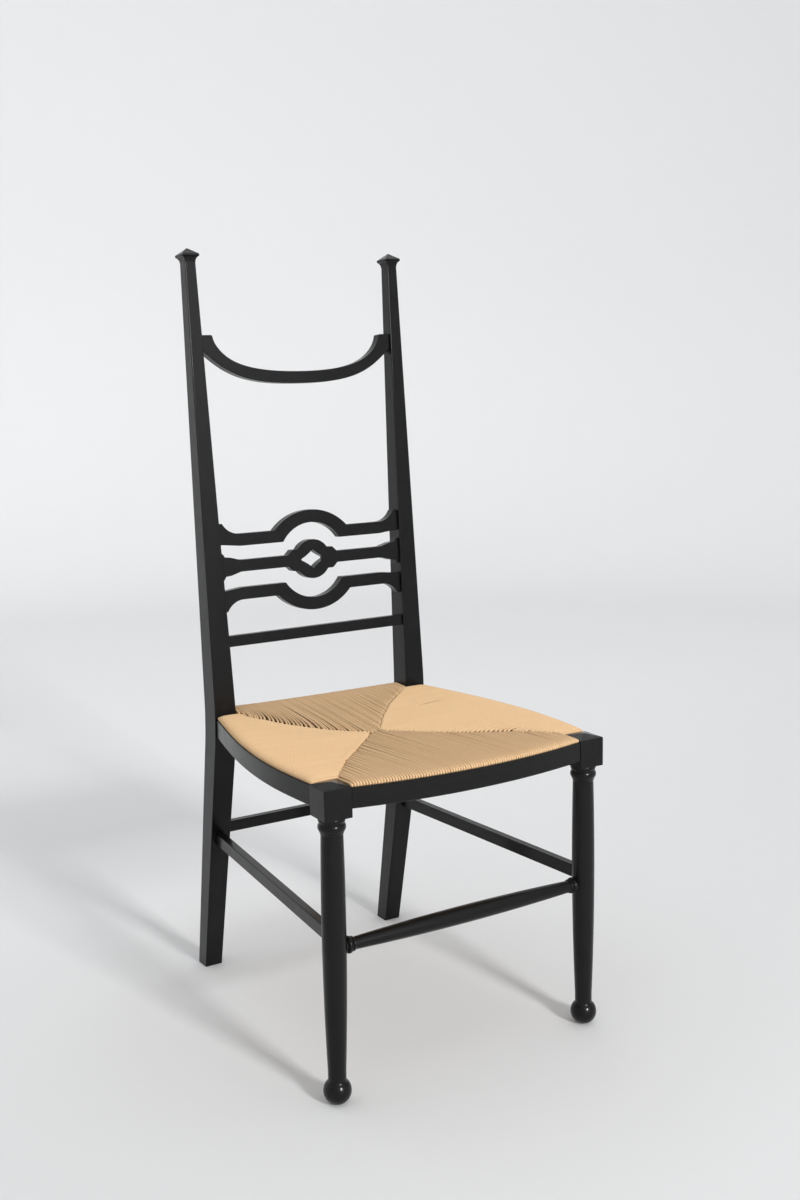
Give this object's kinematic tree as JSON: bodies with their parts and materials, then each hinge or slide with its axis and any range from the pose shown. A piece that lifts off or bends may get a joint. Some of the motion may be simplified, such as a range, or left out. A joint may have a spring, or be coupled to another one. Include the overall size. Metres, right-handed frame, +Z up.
{
  "type": "tall back side chair",
  "caption": "Tall back side chair in black painted wood with turned front legs, a fretted back and a woven cord seat edged with bowed bands.",
  "frame": {"origin": "on the floor, in the middle of the chair's box", "axes": "+Z up, +Y towards the back of the chair, +X across it; a sitter looks along -Y"},
  "size_m": [0.4614, 0.5592, 1.1462],
  "materials": {
    "black_wood": "ebonised, satin",
    "bare_wood": "bare, sawn",
    "seat_cord": "twisted paper cord, matt",
    "folded_card": "folded card, matt",
    "pin_steel": "darkened"
  },
  "bodies": {
    "root": {"front_leg_left": "black_wood", "front_leg_right": "black_wood", "back_post_left": "black_wood", "back_post_right": "black_wood", "crest_rail": "black_wood", "upper_slat": "black_wood", "middle_slat": "black_wood", "lower_slat": "black_wood", "back_rung": "black_wood", "front_edge_band": "black_wood", "side_edge_band_left": "black_wood", "side_edge_band_right": "black_wood", "front_stretcher": "black_wood", "side_stretcher_left": "black_wood", "side_stretcher_right": "black_wood", "back_stretcher": "black_wood", "front_seat_rail": "bare_wood", "back_seat_rail": "bare_wood", "side_seat_rail_left": "bare_wood", "side_seat_rail_right": "bare_wood", "rush_seat": "seat_cord", "seat_stuffing": "folded_card", "band_pins": "pin_steel"}
  },
  "joints": []
}
